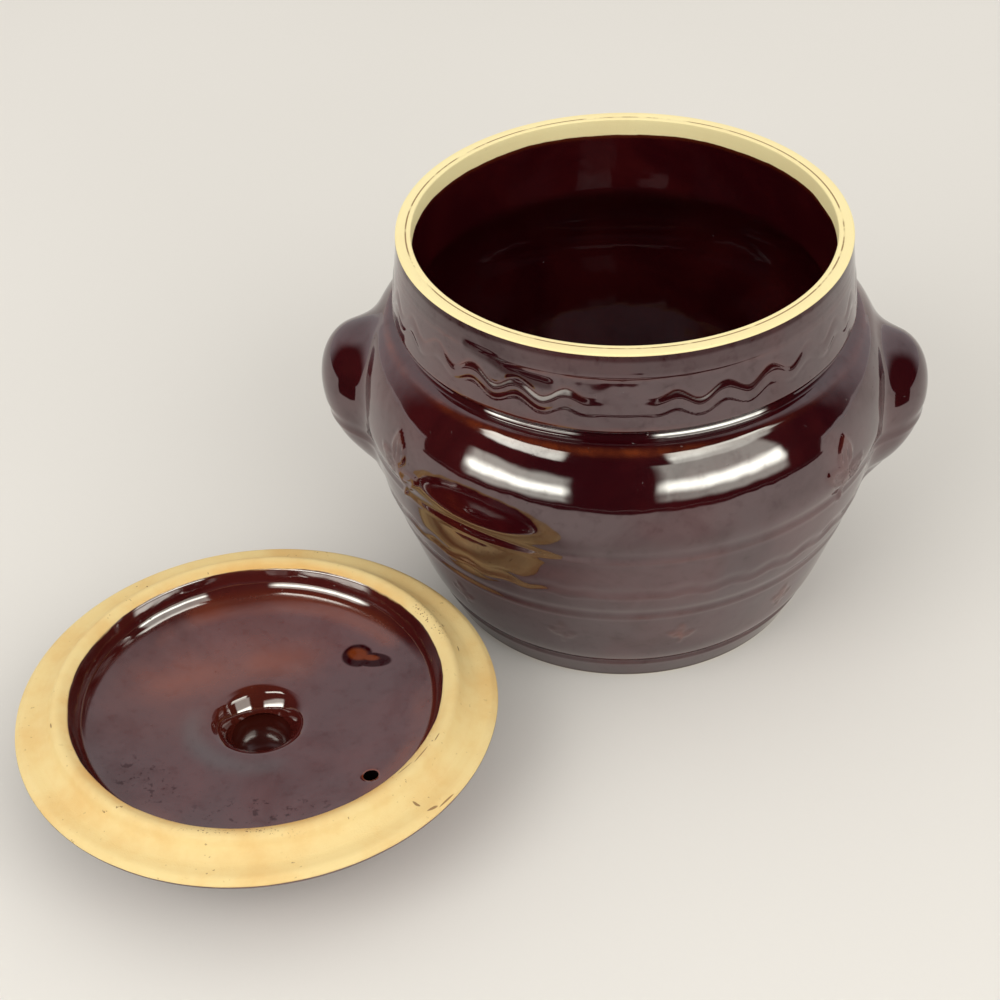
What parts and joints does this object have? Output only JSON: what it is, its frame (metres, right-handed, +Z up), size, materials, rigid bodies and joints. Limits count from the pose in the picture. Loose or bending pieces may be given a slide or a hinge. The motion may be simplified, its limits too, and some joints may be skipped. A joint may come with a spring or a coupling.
{
  "type": "bean pot",
  "caption": "Wide-mouthed stoneware cooking pot with lug handles, a ridged collar and a domed lid with a hollow knob, shown open with the lid upside down beside it.",
  "frame": {"origin": "middle of the pot's flat base, on the surface it stands on", "axes": "+Z up along the pot's turning axis; +X through the right-hand lug handle; +Y away from the side the lid lies on"},
  "size_m": [0.3289, 0.3068, 0.1558],
  "materials": {
    "pot_glaze": "glossy red-brown glaze on fired clay, rim and base left bare",
    "lug_glaze": "glossy red-brown glaze on fired clay",
    "lid_glaze": "glossy red-brown glaze on fired clay, seating face and ring left bare"
  },
  "bodies": {
    "pot": {"pot_body": "pot_glaze", "right_lug": "lug_glaze", "left_lug": "lug_glaze"},
    "lid": {"lid": "lid_glaze"}
  },
  "joints": [
    {"name": "lid_lift", "type": "slide", "parent": "pot", "child": "lid", "axis": [-0.5138, -0.4859, 0.7071], "range_m": [0, 0.2]}
  ]
}
